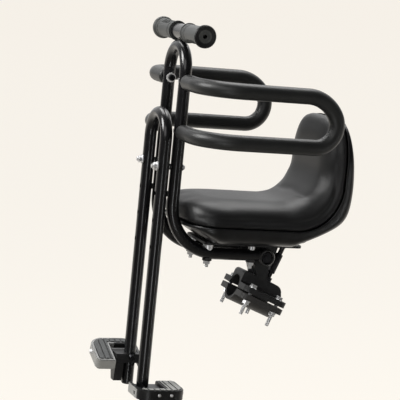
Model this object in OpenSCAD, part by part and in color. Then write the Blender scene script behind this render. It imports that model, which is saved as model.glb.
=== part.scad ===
// Child seat for the sloping top tube of a bicycle.
// X points forward along the bicycle, Y to the rider's left and Z up.
// The origin is the centre of the clamp bore, on the axis of the bicycle's tube.
// All sizes are in millimetres.

/* [Clamp] */
// Slope of the bicycle's top tube, rising forward, in degrees
tube_slope = 27.5; // [24:0.5:31]
// Diameter of the bicycle's top tube
tube_d = 38; // [35:0.5:39]
// Length of the clamp along the tube
clamp_l = 77; // [70:1:90]
// Wall of the two half shells
clamp_wall = 3; // [2.5:0.25:4]
// Thickness of the rubber liners
liner_t = 2; // [1.5:0.25:3]
// Gap between the two half shells
clamp_gap = 3; // [2:0.5:5]
// Thickness of the bolt flanges
flange_t = 9.2; // [7:0.2:11]
// Spacing of the clamp bolts across the tube
clamp_bolt_y = 88; // [84:1:94]
// Spacing of the clamp bolts along the tube
clamp_bolt_t = 49.5; // [44:0.5:56]
// Length of the clamp bolts under the head
clamp_bolt_l = 47; // [38:1:52]

/* [Pivot] */
// Distance of the pivot from the clamp's centre, along the tube
pivot_t = 23.7; // [20:0.1:27]
// Height of the pivot above the tube's axis, square to the tube
pivot_n = 62.7; // [60:0.1:68]
// Diameter of the pivot bolt
pivot_d = 10; // [8:0.5:12]
// Radius of the yoke round the pivot
yoke_r = 15; // [12:0.5:17]
// Width of the yoke over its two cheeks
yoke_w = 40; // [36:1:42]
// Thickness of each cheek of the yoke
cheek_t = 7; // [5:0.5:9]
// Diameter of the round caps on the pivot
cap_d = 26; // [23:0.5:26]
// Length of the round caps
cap_l = 17; // [14:0.5:20]

/* [Prop] */
// Place of the prop along the tube, behind the clamp's centre
prop_t = 11.5; // [10:0.5:17]
// Diameter of the prop's sleeve nut
prop_sleeve_d = 12.5; // [12:0.25:16]
// Length of the prop's sleeve nut
prop_sleeve_l = 33.5; // [28:0.5:36]
// Length of bare stud between the clamp and the sleeve nut
prop_stud_l = 13.5; // [10:0.5:16]
// Diameter of the prop's screw
prop_screw_d = 8; // [6:0.5:9]

/* [Frame] */
// Lean of the seat's frame rearward, in degrees
lean = 6; // [2:0.5:8]
// Outside diameter of the frame tubes
frame_d = 19; // [17:0.5:20]
// Wall of the frame tubes
frame_wall = 1.5; // [1:0.25:2.5]
// Spacing of the two legs of each frame, centre to centre
leg_gap = 76; // [72:1:80]
// Distance of the upper frame's legs ahead of the pivot
leg_u = 165; // [160:1:176]
// Height of the upper frame's arch above the pivot, to the tube's axis
arch_w = 321; // [305:1:340]
// Height of the runs under the seat above the pivot
run_w = 4; // [2:0.5:8]
// Radius of the bend between leg and run
run_bend_r = 75; // [60:1:85]
// Rear end of the runs, ahead of the pivot
run_end_u = 15; // [14:0.5:18]
// Clear gap between the upper and the lower frame
frame_gap = 2.3; // [1.5:0.1:4]
// Height of the lower frame's arch above the pivot, to the tube's axis
low_arch_w = 215.5; // [205:0.5:235]
// Bottom end of the lower frame's legs, below the pivot
low_leg_w = 224; // [222:1:260]
// Height of the bolt that joins the two frames
height_bolt_w = 136.5; // [125:0.5:145]
// Spacing of the height holes
height_pitch = 42; // [36:1:44]
// Diameter of the frame bolts
frame_bolt_d = 6; // [5:0.5:7]

/* [Handle] */
// Length of the handle over its grips
handle_l = 204; // [176:1:230]
// Diameter of the handle bar
handle_d = 24; // [20:0.5:25.5]
// Setback of the handle behind the arch
handle_back = 3.5; // [0:0.5:6]
// Length of each rubber grip
grip_l = 76; // [60:1:80]
// Diameter of the rubber grips
grip_d = 28; // [27:0.5:32]
// Diameter of the grips' end flanges
grip_flange_d = 35; // [31:0.2:38]

/* [Armrests] */
// Distance of the upper arm below the start of the frame's arch
arm_below = 14.5; // [11:0.5:24]
// Spacing of the upper and the lower arm
arm_drop = 77; // [66:1:84]
// Sideways reach of the arms from the middle of the seat
arm_y = 149.5; // [138:0.5:165]
// Rear end of the armrest behind the pivot, to the tube's axis
arm_rear_u = 45.5; // [20:0.5:60]
// Radius of the arms' side bends
arm_bend_r = 60; // [45:1:66]
// Radius of the wide upper part of the rear bend
arm_rear_r = 54; // [40:1:66]
// Diameter of the arm tube
arm_d = 16; // [14:0.5:18]
// Outside diameter of the foam sleeve
foam_d = 24.4; // [21:0.2:28]
// Diameter of the armrest bolts
arm_bolt_d = 6; // [5:0.5:7]

/* [Seat] */
// Half width of the cushion
seat_hw = 95; // [85:1:104]
// Height of the seam above the pivot
seam_w = 50; // [46:0.5:56]
// Distance of the back's seam behind the pivot
seam_back_u = 99; // [94:1:112]
// Radius of the seam's corner between seat and back
seam_r = 75; // [66:1:80]
// Clear distance between the cushion's nose and the frame's legs
nose_gap = 8; // [4:0.5:14]
// Length of the rounded nose
nose_l = 46; // [36:1:56]
// Top of the backrest above the pivot
back_top_w = 229; // [215:1:245]
// Length of the backrest's rounded top
back_round = 78; // [50:1:90]
// Thickness of the cushion on the seat
pad_seat_t = 42; // [34:1:46]
// Thickness of the cushion on the back
pad_back_t = 31; // [24:1:36]
// Radius of the hollow between the cushion's seat and back
pad_fillet = 60; // [52:1:70]
// Depth of the shell behind the back
shell_back_t = 20; // [15:1:26]
// Rise of the shell's belly towards its heel, for each unit of length
belly_rise = 0.45; // [0.3:0.01:0.6]
// Wall of the moulded shell
shell_wall = 3; // [2.5:0.25:4]

/* [Seat bracket] */
// Thickness of the steel plate under the seat
plate_t = 3.5; // [2.5:0.25:4]
// Length of the spacers between the frame's runs and the plate
base_lift = 5; // [4:0.5:8]
// Front end of the plate ahead of the pivot
plate_front_u = 108; // [107:1:120]
// Rear end of the plate behind the pivot
plate_rear_u = 56; // [52:1:62]
// Thickness of the two ears
ear_t = 4; // [3:0.25:5]
// Radius of the ears round the pivot
ear_r = 20; // [18:0.5:22]
// Distance of the front base bolts ahead of the pivot
base_front_u = 100; // [96:1:104]
// Distance of the rear base bolts ahead of the pivot
base_rear_u = 27; // [25:0.5:34]

/* [Footrests] */
// Length of each footrest platform, fore and aft
foot_l = 77; // [66:1:88]
// Reach of the platform past the leg on its short side
foot_short = 19; // [18:0.5:24]
// Inner edge of the platform, inboard of the leg's axis
foot_in = 17; // [12:0.5:18]
// Outer edge of the platform, outboard of the leg's axis
foot_out = 48; // [42:1:60]
// Thickness of the platform
foot_t = 19; // [16:0.5:22]
// Radius of the platform's outer corners
foot_r = 22; // [10:1:24]
// Distance of the fold pin outboard of the leg's axis
foot_pin_y = 20.5; // [20:0.5:24]
// Diameter of the fold pin
foot_pin_d = 6; // [5:0.5:7]
// Height of the left footrest's fold pin, below the pivot
foot_left_w = 215.5; // [200:0.5:217]
// How much higher the right footrest is fixed
foot_step = 35; // [0:1:44]
// Angle at which the right footrest is folded up, in degrees
foot_right_fold = 20; // [0:1:60]

/* [Hidden] */
$fn = 64;
eps = 0.01;

// Running clearance of a pin or bolt in its bore, on the radius
run_clear = 0.05;
// Clearance of a bolt in a drilled hole, on the radius
hole_clear = 0.25;
// Gap kept between parts that move past each other
gap = 0.3;
// Corner points of a hexagon
HEX = 6;

// Clamp
bore_r = tube_d / 2;
shell_in_r = bore_r + liner_t;
shell_out_r = shell_in_r + clamp_wall;
clamp_bolt_r = 3;
clamp_nut_h = 5;
clamp_washer_t = 1.4;
flange_y = clamp_bolt_y / 2 + 9.5;
flange_r = 11;
bolt_af = 10;
bolt_head_h = 4;
saddle_n = shell_out_r + 5.7;
saddle_y = yoke_w / 2;
saddle_rear = clamp_l / 2 - 2.5;
saddle_rear_r = 0.18 * clamp_l;
saddle_front_r = 0.08 * clamp_l;
// The yoke's neck on the saddle, ahead of the clamp's centre
neck_front = 17;
neck_rear = -4;
neck_flare = 9.7;
pivot = [pivot_t * cos(tube_slope) - pivot_n * sin(tube_slope), 0,
         pivot_t * sin(tube_slope) + pivot_n * cos(tube_slope)];

// Pivot stack, from the middle outward
bush_t = 2;
bush_fit = 0.06;
washer_in = yoke_w / 2;
washer_out = washer_in + 1.9;
ear_in = washer_out + 0.1;
ear_out = ear_in + ear_t;
pivot_hex = 16;

// Prop: its head touches the underside of the plate
rel_slope = tube_slope - lean;
plate_w = run_w + frame_d / 2 + base_lift;
prop_tip_r = 5;
prop_back = prop_t + pivot_t;
prop_tip_n = pivot_n + (plate_w - prop_tip_r - gap + prop_back * sin(rel_slope)) / cos(rel_slope);
prop_sleeve_n = saddle_n + prop_stud_l;
prop_stud_d = prop_screw_d;
prop_engage = 15;

// Frames
half_gap = leg_gap / 2;
arch_c = arch_w - half_gap;
low_u = leg_u + frame_d + frame_gap;
low_arch_c = low_arch_w - half_gap;
height_holes = [for (i = [0:3]) height_bolt_w - i * height_pitch];
foot_left = -foot_left_w;
foot_right = foot_left + foot_step;
nut_h = 5.2;
nut_af = 10;
head_h = 3.4;
foot_bolt_w = [foot_left, foot_right];

// Handle
handle_rise = (frame_d + handle_d) / 2;
handle_w = arch_w + sqrt(handle_rise * handle_rise - handle_back * handle_back);
handle_u = leg_u - handle_back;
grip_in = handle_l / 2 - grip_l;

// Armrests
arm_top_w = arch_c - arm_below;
arm_low_w = arm_top_w - arm_drop;
arm_start_y = half_gap + frame_d / 2;
arm_stub = arm_y - half_gap - arm_bend_r;
arm_front_u = leg_u - arm_bend_r;
// The rear bend turns 60 degrees on the wide radius, then 120 on a tight one
arm_wide_a = 60;
arm_tight_r = (arm_drop - arm_rear_r * (1 - cos(arm_wide_a))) / (1 + cos(arm_wide_a));
arm_back_u = (arm_rear_r - arm_tight_r) * sin(arm_wide_a) + arm_tight_r - arm_rear_u;
arm_low_back_u = arm_tight_r - arm_rear_u;
arm_insert_l = 16;

// Seat
nose_u = leg_u - frame_d / 2 - nose_gap;
seam_corner_u = seam_r - seam_back_u;
seam_corner_w = seam_w + seam_r;
fillet_u = pad_back_t + pad_fillet - seam_back_u;
fillet_w = pad_seat_t + pad_fillet + seam_w;
plate_top_w = plate_w + plate_t;
shell_seat_t = seam_w - plate_top_w - gap;
screw_angles = [6, 16];
screw_y = 58;
screw_r = 6;

// Footrests
foot_front = foot_short;
foot_rear = foot_l - foot_short;
foot_slot_long = 27;
foot_slot_short = 13.5;
foot_slot_y = foot_pin_y + 10.5;
bracket_long = foot_slot_long - 1.5;
bracket_short = foot_slot_short - 1.5;
bracket_in = 12.5;
bracket_h = 14.5;
bracket_tail = 40;
foot_nut_y = frame_d / 2 + 0.3;
foot_nut_h = 4.6;
tread_t = 3;
tread_in = 4;
rib_h = 1.2;

module in_clamp() {
    rotate([0, -tube_slope, 0]) children();
}

module in_seat() {
    translate(pivot) rotate([0, -lean, 0]) children();
}

// A rectangle with rounded corners, exact in every corner
module round_rect(x0, x1, y0, y1, r) {
    translate([x0 + r, y0]) square([x1 - x0 - 2 * r, y1 - y0]);
    translate([x0, y0 + r]) square([x1 - x0, y1 - y0 - 2 * r]);
    for (x = [x0 + r, x1 - r], y = [y0 + r, y1 - r])
        translate([x, y]) circle(r);
}

// A straight piece of pipe along Z
module pipe(d, wall, l) {
    difference() {
        cylinder(d = d, h = l);
        translate([0, 0, -1]) cylinder(d = d - 2 * wall, h = l + 2);
    }
}

// A bent piece of pipe in the XY plane, from angle 0 upward
module elbow(d, wall, r, a) {
    rotate_extrude(angle = a, $fn = 96)
        translate([r, 0]) difference() {
            circle(d = d, $fn = 48);
            circle(d = d - 2 * wall, $fn = 48);
        }
}

// A hexagon nut or head, its faces af apart
module hexagon(af, h) {
    cylinder(d = af / cos(30), h = h, $fn = HEX);
}

module nut(af, h, bore) {
    difference() {
        intersection() {
            hexagon(af, h);
            translate([0, 0, -eps]) cylinder(r1 = af * 0.62, r2 = af * 0.56 + 0.1, h = h + 2 * eps);
        }
        translate([0, 0, -1]) cylinder(r = bore, h = h + 2);
    }
}

module washer(r_out, r_in, t) {
    difference() {
        cylinder(r = r_out, h = t);
        translate([0, 0, -1]) cylinder(r = r_in, h = t + 2);
    }
}

// CLAMP, in its own frame: X along the tube, Z square to it

module at_clamp_bolts() {
    for (t = [-1, 1], s = [-1, 1])
        translate([t * clamp_bolt_t / 2, s * clamp_bolt_y / 2, 0]) children();
}

// One half shell with its two flanges, above the split
module half_shell() {
    difference() {
        union() {
            translate([-clamp_l / 2, 0, 0]) rotate([0, 90, 0]) cylinder(r = shell_out_r, h = clamp_l);
            translate([0, 0, clamp_gap / 2]) linear_extrude(flange_t)
                round_rect(-clamp_l / 2, clamp_l / 2, -flange_y, flange_y, flange_r);
        }
        translate([-clamp_l / 2 - 1, 0, 0]) rotate([0, 90, 0]) cylinder(r = shell_in_r, h = clamp_l + 2);
        translate([-clamp_l, -flange_y - 5, -2 * shell_out_r])
            cube([2 * clamp_l, 2 * flange_y + 10, 2 * shell_out_r + clamp_gap / 2]);
        at_clamp_bolts()
            cylinder(r = clamp_bolt_r + hole_clear, h = shell_out_r);
    }
}

// Side outline of the yoke's cheek: a waist that widens to the pivot
module cheek_outline() {
    difference() {
        union() {
            translate([pivot_t, pivot_n]) circle(yoke_r);
            polygon([[neck_rear, saddle_n - 4], [neck_front, saddle_n - 4], [neck_front, saddle_n],
                     [neck_front + neck_flare, saddle_n + 1.25 * neck_flare],
                     [pivot_t + yoke_r * cos(20), pivot_n - yoke_r * sin(20)],
                     [pivot_t - yoke_r, pivot_n]]);
        }
        translate([pivot_t, pivot_n]) circle(pivot_d / 2 + bush_t + bush_fit);
    }
}

// Side outline of the saddle block on the shell, its top corners rounded
module saddle_outline() {
    front = clamp_l / 2;
    translate([saddle_rear_r - saddle_rear, 0])
        square([saddle_rear + front - saddle_rear_r - saddle_front_r, saddle_n]);
    translate([-saddle_rear, 0]) square([saddle_rear + front, saddle_n - saddle_rear_r]);
    translate([saddle_rear_r - saddle_rear, saddle_n - saddle_rear_r]) circle(saddle_rear_r);
    translate([front - saddle_front_r, saddle_n - saddle_front_r]) circle(saddle_front_r);
    translate([front - saddle_rear_r, 0]) square([saddle_rear_r, saddle_n - saddle_front_r]);
}

module clamp_upper() {
    color([0.07, 0.07, 0.075]) in_clamp() {
        difference() {
            union() {
                half_shell();
                difference() {
                    translate([0, saddle_y, 0]) rotate([90, 0, 0]) linear_extrude(2 * saddle_y)
                        saddle_outline();
                    translate([-clamp_l, 0, 0]) rotate([0, 90, 0]) cylinder(r = shell_in_r, h = 2 * clamp_l);
                    translate([-clamp_l, -flange_y, -shell_in_r])
                        cube([2 * clamp_l, 2 * flange_y, shell_in_r + clamp_gap / 2]);
                }
                for (s = [-1, 1])
                    translate([0, s * (yoke_w - cheek_t) / 2 + cheek_t / 2, 0]) rotate([90, 0, 0])
                        linear_extrude(cheek_t) cheek_outline();
            }
            translate([-prop_t, 0, saddle_n - prop_engage / 2])
                cylinder(d = prop_stud_d, h = prop_engage);
        }
    }
}

module clamp_lower() {
    color([0.16, 0.15, 0.15]) in_clamp() rotate([180, 0, 0]) half_shell();
}

module half_liner() {
    difference() {
        translate([-clamp_l / 2, 0, 0]) rotate([0, 90, 0]) cylinder(r = shell_in_r, h = clamp_l);
        translate([-clamp_l / 2 - 1, 0, 0]) rotate([0, 90, 0]) cylinder(r = bore_r, h = clamp_l + 2);
        translate([-clamp_l, -shell_in_r - 1, -shell_in_r - 1])
            cube([2 * clamp_l, 2 * shell_in_r + 2, shell_in_r + 1 + clamp_gap / 2]);
    }
}

module upper_liner() {
    color([0.05, 0.05, 0.05]) in_clamp() half_liner();
}

module lower_liner() {
    color([0.05, 0.05, 0.05]) in_clamp() rotate([180, 0, 0]) half_liner();
}

flange_n = clamp_gap / 2 + flange_t;

module clamp_bolts() {
    color([0.75, 0.75, 0.76]) in_clamp() at_clamp_bolts() {
        translate([0, 0, flange_n + clamp_washer_t]) hexagon(bolt_af, bolt_head_h);
        translate([0, 0, flange_n + clamp_washer_t - clamp_bolt_l])
            cylinder(r = clamp_bolt_r, h = clamp_bolt_l);
    }
}

module clamp_nuts() {
    color([0.75, 0.75, 0.76]) in_clamp() at_clamp_bolts()
        translate([0, 0, -flange_n - clamp_washer_t - clamp_nut_h])
            nut(bolt_af, clamp_nut_h, clamp_bolt_r + run_clear);
}

module clamp_washers() {
    color([0.75, 0.75, 0.76]) in_clamp() at_clamp_bolts()
        for (n = [flange_n, -flange_n - clamp_washer_t])
            translate([0, 0, n]) washer(6.2, clamp_bolt_r + hole_clear, clamp_washer_t);
}

// PIVOT

// Places a child on the pivot's axis, pointing to side s, y0 from the middle
module on_pivot(s, y0) {
    in_seat() rotate([-s * 90, 0, 0]) translate([0, 0, y0]) children();
}

module pivot_bushes() {
    color([0.55, 0.52, 0.45]) for (s = [-1, 1])
        on_pivot(s, yoke_w / 2 - cheek_t)
            washer(pivot_d / 2 + bush_t, pivot_d / 2 + run_clear, cheek_t);
}

module friction_washers() {
    color([0.5, 0.5, 0.5]) for (s = [-1, 1])
        on_pivot(s, washer_in) washer(yoke_r - 1, pivot_d / 2 + run_clear, washer_out - washer_in);
}

cap_floor = 6;
cap_seat = ear_out + cap_floor;

module pivot_bolt() {
    color([0.3, 0.3, 0.31]) {
        on_pivot(1, -cap_seat) cylinder(d = pivot_d, h = 2 * cap_seat + 9);
        on_pivot(-1, cap_seat) hexagon(pivot_hex, 6.5);
    }
}

module pivot_nut() {
    color([0.3, 0.3, 0.31]) on_pivot(1, cap_seat) nut(pivot_hex, 8, pivot_d / 2 + run_clear);
}

// Round caps with a raised rim and a recess that holds the nut or the bolt's head
module pivot_caps() {
    color([0.1, 0.1, 0.1]) for (s = [-1, 1])
        on_pivot(s, ear_out) rotate_extrude() polygon([
            [pivot_d / 2 + run_clear, 0], [cap_d / 2 - 1, 0], [cap_d / 2, 1],
            [cap_d / 2, cap_l - 2], [cap_d / 2 - 1.2, cap_l], [cap_d / 2 - 2.6, cap_l],
            [cap_d / 2 - 3.4, cap_l - 2.5], [cap_d / 2 - 3.4, cap_floor],
            [pivot_d / 2 + run_clear, cap_floor]]);
}

// PROP, standing on the clamp behind the yoke

module on_prop(n) {
    in_clamp() translate([-prop_t, 0, n]) children();
}

module prop_stud() {
    color([0.2, 0.2, 0.2]) on_prop(saddle_n - prop_engage / 2)
        cylinder(d = prop_stud_d, h = prop_engage / 2 + prop_stud_l + 8);
}

module prop_locknut() {
    color([0.2, 0.2, 0.2]) on_prop(saddle_n) nut(13, 6, prop_stud_d / 2 + run_clear);
}

// Long sleeve nut with two spanner flats at its foot
module prop_sleeve() {
    color([0.06, 0.06, 0.06]) on_prop(prop_sleeve_n) difference() {
        union() {
            translate([0, 0, 0.8]) cylinder(d = prop_sleeve_d, h = prop_sleeve_l - 1.6);
            cylinder(d1 = prop_sleeve_d - 1.6, d2 = prop_sleeve_d, h = 0.8);
            translate([0, 0, prop_sleeve_l - 0.8])
                cylinder(d1 = prop_sleeve_d, d2 = prop_sleeve_d - 1.6, h = 0.8);
        }
        translate([0, 0, -1]) cylinder(d = prop_stud_d + 2 * run_clear, h = prop_sleeve_l + 2);
        for (s = [-1, 1])
            translate([s * (prop_sleeve_d / 2 - 1), -prop_sleeve_d / 2, 3])
                translate([s > 0 ? 0 : -2, 0, 0]) cube([2, prop_sleeve_d, 9]);
    }
}

module prop_screw() {
    color([0.25, 0.25, 0.26]) {
        on_prop(prop_sleeve_n + 14)
            cylinder(d = prop_screw_d, h = prop_tip_n - prop_sleeve_n - 14 - 1);
        on_prop(prop_tip_n) intersection() {
            sphere(prop_tip_r);
            translate([0, 0, -3.5]) cylinder(r = prop_tip_r, h = 2 * prop_tip_r);
        }
    }
}

// FRAMES, in the seat's frame: X forward, Z along the legs

module leg_holes(u, spots, d) {
    for (w = spots, s = [-1, 1])
        translate([u - frame_d, s * half_gap, w]) rotate([0, 90, 0])
            cylinder(d = d + 2 * hole_clear, h = 2 * frame_d);
}

module at_base_bolts() {
    for (u = [base_front_u, base_rear_u], s = [-1, 1])
        translate([u, s * half_gap, 0]) children();
}

module upper_frame() {
    color([0.04, 0.04, 0.045]) in_seat() difference() {
        union() {
            translate([leg_u, 0, arch_c]) rotate([90, 0, 90]) elbow(frame_d, frame_wall, half_gap, 180);
            for (s = [-1, 1]) translate([0, s * half_gap, 0]) {
                translate([leg_u, 0, run_w + run_bend_r])
                    pipe(frame_d, frame_wall, arch_c - run_w - run_bend_r);
                translate([leg_u - run_bend_r, 0, run_w + run_bend_r]) rotate([90, 0, 0])
                    rotate([0, 0, -90]) elbow(frame_d, frame_wall, run_bend_r, 90);
                translate([run_end_u, 0, run_w]) rotate([0, 90, 0])
                    pipe(frame_d, frame_wall, leg_u - run_bend_r - run_end_u);
            }
        }
        leg_holes(leg_u, [height_holes[0], height_holes[1]], frame_bolt_d);
        for (w = [arm_top_w, arm_low_w], s = [-1, 1])
            translate([leg_u, s * half_gap - frame_d, w]) rotate([-90, 0, 0])
                cylinder(d = arm_bolt_d + 2 * hole_clear, h = 2 * frame_d);
        at_base_bolts() translate([0, 0, run_w - frame_d])
            cylinder(d = frame_bolt_d + 2 * hole_clear, h = 2 * frame_d);
    }
}

// Plastic plugs in the open ends of the runs
module run_plugs() {
    color([0.03, 0.03, 0.03]) in_seat() for (s = [-1, 1])
        translate([run_end_u, s * half_gap, run_w]) rotate([0, 90, 0]) {
            cylinder(d = frame_d - 2 * frame_wall, h = 8);
            translate([0, 0, -1]) cylinder(d1 = frame_d - 1.6, d2 = frame_d, h = 1);
        }
}

module lower_frame() {
    color([0.04, 0.04, 0.045]) in_seat() difference() {
        union() {
            translate([low_u, 0, low_arch_c]) rotate([90, 0, 90]) elbow(frame_d, frame_wall, half_gap, 180);
            for (s = [-1, 1]) translate([low_u, s * half_gap, -low_leg_w])
                pipe(frame_d, frame_wall, low_arch_c + low_leg_w);
        }
        leg_holes(low_u, height_holes, frame_bolt_d);
        for (i = [0, 1]) translate([low_u, [1, -1][i] * half_gap - frame_d, foot_bolt_w[i]])
            rotate([-90, 0, 0]) cylinder(d = frame_bolt_d + 2 * hole_clear, h = 2 * frame_d);
    }
}

module leg_plugs() {
    color([0.03, 0.03, 0.03]) in_seat() for (s = [-1, 1])
        translate([low_u, s * half_gap, -low_leg_w]) {
            cylinder(d = frame_d - 2 * frame_wall, h = 4);
            translate([0, 0, -2]) cylinder(d1 = frame_d - 3, d2 = frame_d, h = 2);
        }
}

// Bolts that join the two frames: round head behind, nut in front
module height_bolts() {
    bolt_l = 2 * frame_d + frame_gap + nut_h + 4.5;
    color([0.7, 0.7, 0.71]) in_seat() for (s = [-1, 1])
        translate([leg_u - frame_d / 2, s * half_gap, height_bolt_w]) rotate([0, 90, 0]) {
            cylinder(d = frame_bolt_d, h = bolt_l);
            translate([0, 0, -head_h]) cylinder(d1 = frame_bolt_d, d2 = 2 * frame_bolt_d - 1, h = head_h);
        }
}

// Nuts with a toothed flange
module height_nuts() {
    color([0.75, 0.75, 0.76]) in_seat() for (s = [-1, 1])
        translate([low_u + frame_d / 2, s * half_gap, height_bolt_w]) rotate([0, 90, 0]) {
            washer(7, frame_bolt_d / 2 + run_clear, 1.6);
            translate([0, 0, 1.6 - eps]) nut(nut_af, nut_h, frame_bolt_d / 2 + run_clear);
        }
}

// Rubber spacers between the frames, at the bolt and at the hole below it
module frame_spacers() {
    color([0.03, 0.03, 0.03]) in_seat() for (s = [-1, 1], w = [height_holes[0], height_holes[1]])
        translate([leg_u + frame_d / 2, s * half_gap, w]) rotate([0, 90, 0])
            washer(4.5, frame_bolt_d / 2 + hole_clear, frame_gap);
}

// HANDLE

module handle_bar() {
    color([0.04, 0.04, 0.045]) in_seat()
        translate([handle_u, -handle_l / 2 + 3, handle_w]) rotate([-90, 0, 0])
            pipe(handle_d, 2, handle_l - 6);
}

// Rubber grip: end flange with a dished face, inner collar, grooves and ribbed panels
module grip() {
    body_r = grip_d / 2;
    end_r = grip_flange_d / 2;
    in_r = handle_d / 2 + run_clear;
    panel_l = grip_l * 0.42;
    panel_t = 0.6 * (body_r - in_r);
    difference() {
        rotate_extrude() polygon([
            [in_r, 0], [body_r + 1.4, 0], [body_r + 1.6, 1.2], [body_r + 1.6, 2.8], [body_r + 0.2, 3.6],
            [body_r - 0.4, 6], [body_r, 10], [body_r, grip_l - 12], [body_r + 0.8, grip_l - 8],
            [end_r - 0.8, grip_l - 6.5], [end_r, grip_l - 5], [end_r, grip_l - 1.5],
            [end_r - 1.2, grip_l], [end_r - 3, grip_l - 0.4], [8, grip_l - 2.4],
            [4, grip_l - 2.6], [3.2, grip_l - 2.6], [3.2, grip_l - 3], [in_r, grip_l - 3]]);
        for (y = [12.5, 16, grip_l - 14])
            translate([0, 0, y]) rotate_extrude() translate([body_r, 0]) circle(0.7, $fn = 16);
        for (a = [60, 240]) rotate([0, 0, a]) translate([body_r - panel_t, -6, 22]) difference() {
            cube([4, 12, panel_l]);
            for (i = [1:5]) translate([-1, -1, i * panel_l / 6 - 1]) cube([2.1, 14, 2]);
        }
    }
}

module on_handle(s) {
    in_seat() translate([handle_u, 0, handle_w]) rotate([-s * 90, 0, 0])
        translate([0, 0, grip_in]) children();
}

module left_grip() {
    color([0.25, 0.26, 0.26]) on_handle(1) grip();
}

module right_grip() {
    color([0.25, 0.26, 0.26]) on_handle(-1) grip();
}

// ARMRESTS

// The armrest's loop as pipe of diameter d, from y0 outward
module arm_loop(d, wall, y0) {
    stub = half_gap + arm_stub - y0;
    for (w = [arm_top_w, arm_low_w]) {
        translate([leg_u, y0, w]) rotate([-90, 0, 0]) pipe(d, wall, stub);
        translate([leg_u - arm_bend_r, half_gap + arm_stub, w]) elbow(d, wall, arm_bend_r, 90);
        rear_u = w == arm_low_w ? arm_low_back_u : arm_back_u;
        translate([rear_u, arm_y, w]) rotate([0, 90, 0]) pipe(d, wall, arm_front_u - rear_u);
    }
    translate([arm_back_u, arm_y, arm_top_w - arm_rear_r]) rotate([90, 0, 0]) rotate([0, 0, 90])
        elbow(d, wall, arm_rear_r, arm_wide_a);
    translate([arm_low_back_u, arm_y, arm_low_w + arm_tight_r]) rotate([90, 0, 0])
        rotate([0, 0, 90 + arm_wide_a]) elbow(d, wall, arm_tight_r, 180 - arm_wide_a);
}

module arm_tube() {
    difference() {
        union() {
            arm_loop(arm_d, 1.5, arm_start_y);
            for (w = [arm_top_w, arm_low_w])
                translate([leg_u, arm_start_y, w]) rotate([-90, 0, 0])
                    cylinder(d = arm_d - 2.9, h = arm_insert_l);
        }
        for (w = [arm_top_w, arm_low_w])
            translate([leg_u, arm_start_y - 1, w]) rotate([-90, 0, 0])
                cylinder(d = arm_bolt_d + 2 * run_clear, h = arm_insert_l + 2);
    }
}

module arm_foam() {
    arm_loop(foam_d, (foam_d - arm_d) / 2 - run_clear, arm_start_y + 1);
}

module mirror_y(s) {
    if (s > 0) children();
    else mirror([0, 1, 0]) children();
}

module left_arm_tube() {
    color([0.04, 0.04, 0.045]) in_seat() arm_tube();
}

module right_arm_tube() {
    color([0.04, 0.04, 0.045]) in_seat() mirror([0, 1, 0]) arm_tube();
}

module left_arm_foam() {
    color([0.14, 0.15, 0.15]) in_seat() arm_foam();
}

module right_arm_foam() {
    color([0.14, 0.15, 0.15]) in_seat() mirror([0, 1, 0]) arm_foam();
}

arm_washer_t = 1.6;

// Places a child on an armrest bolt, at the inner face of the leg, pointing outward
module at_arm_bolts() {
    in_seat() for (s = [-1, 1], w = [arm_top_w, arm_low_w])
        translate([leg_u, s * (half_gap - frame_d / 2), w]) rotate([-s * 90, 0, 0]) children();
}

module arm_bolts() {
    color([0.08, 0.08, 0.08]) at_arm_bolts() {
        translate([0, 0, -arm_washer_t])
            cylinder(d = arm_bolt_d, h = arm_washer_t + frame_d + arm_insert_l - 2);
        translate([0, 0, -arm_washer_t - 5]) difference() {
            cylinder(d = 1.6 * arm_bolt_d, h = 5);
            translate([0, 0, -1]) hexagon(5, 4);
        }
    }
}

module arm_washers() {
    color([0.8, 0.8, 0.8]) at_arm_bolts() translate([0, 0, -arm_washer_t])
        washer(7.4, arm_bolt_d / 2 + hole_clear, arm_washer_t);
}

// SEAT

// Puts a thin slice at a point of the seam, its own Y turned by phi from up to forward
module slice(u, w, phi) {
    translate([u, 0, w]) rotate([0, phi, 0]) rotate([90, 0, 90]) linear_extrude(0.4) children();
}

// Point of the seam's corner at angle phi
function corner(phi) = [seam_corner_u - seam_r * sin(phi), seam_corner_w - seam_r * cos(phi)];

// Width and height left at angle a of a rounded end
function round_w(a) = pow(cos(a), 0.5);
function round_h(a) = pow(cos(a), 0.6);

nose_angles = [87, 79, 68, 55, 40, 22, 0];
corner_angles = [0:9:90];
// Places on the seat and up the back where the hollow's curve still runs
fillet_steps = [0, 0.33, 0.66];
top_angles = [0, 20, 36, 50, 62, 72, 80, 87];

// Stations along the seam, nose first: [u, w, phi, width, height, end]
// width and height are shares of the full section, end is 1 at the tips
function stations(steps) = concat(
    [for (a = nose_angles) [nose_u - nose_l + nose_l * sin(a), seam_w, 0,
                            round_w(a), round_h(a), 1 - cos(a)]],
    [[(nose_u - nose_l + fillet_u) / 2, seam_w, 0, 1, 1, 0]],
    [for (k = steps) [fillet_u + k * (seam_corner_u - fillet_u), seam_w, 0, 1, 1, 0]],
    [for (p = corner_angles) [corner(p)[0], corner(p)[1], p, 1, 1, 0]],
    [for (k = steps) if (k > 0) [-seam_back_u, seam_corner_w + k * (fillet_w - seam_corner_w), 90, 1, 1, 0]],
    [for (a = top_angles) [-seam_back_u, max(fillet_w, back_top_w - back_round + back_round * sin(a)), 90,
                           round_w(a), round_h(a), 1 - cos(a)]]);

// Extra thickness of the cushion a distance x short of the end of the hollow's curve
function hollow(x) = x > 0 ? pad_fillet - sqrt(pad_fillet * pad_fillet - x * x) : 0;

// Distance of the hollow's curve from the centre of the seam's corner, at angle phi
function hollow_d(phi) =
    let (du = fillet_u - seam_corner_u, dw = fillet_w - seam_corner_w, b = du * sin(phi) + dw * cos(phi))
    sqrt(b * b + pad_fillet * pad_fillet - du * du - dw * dw) - b;

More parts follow.
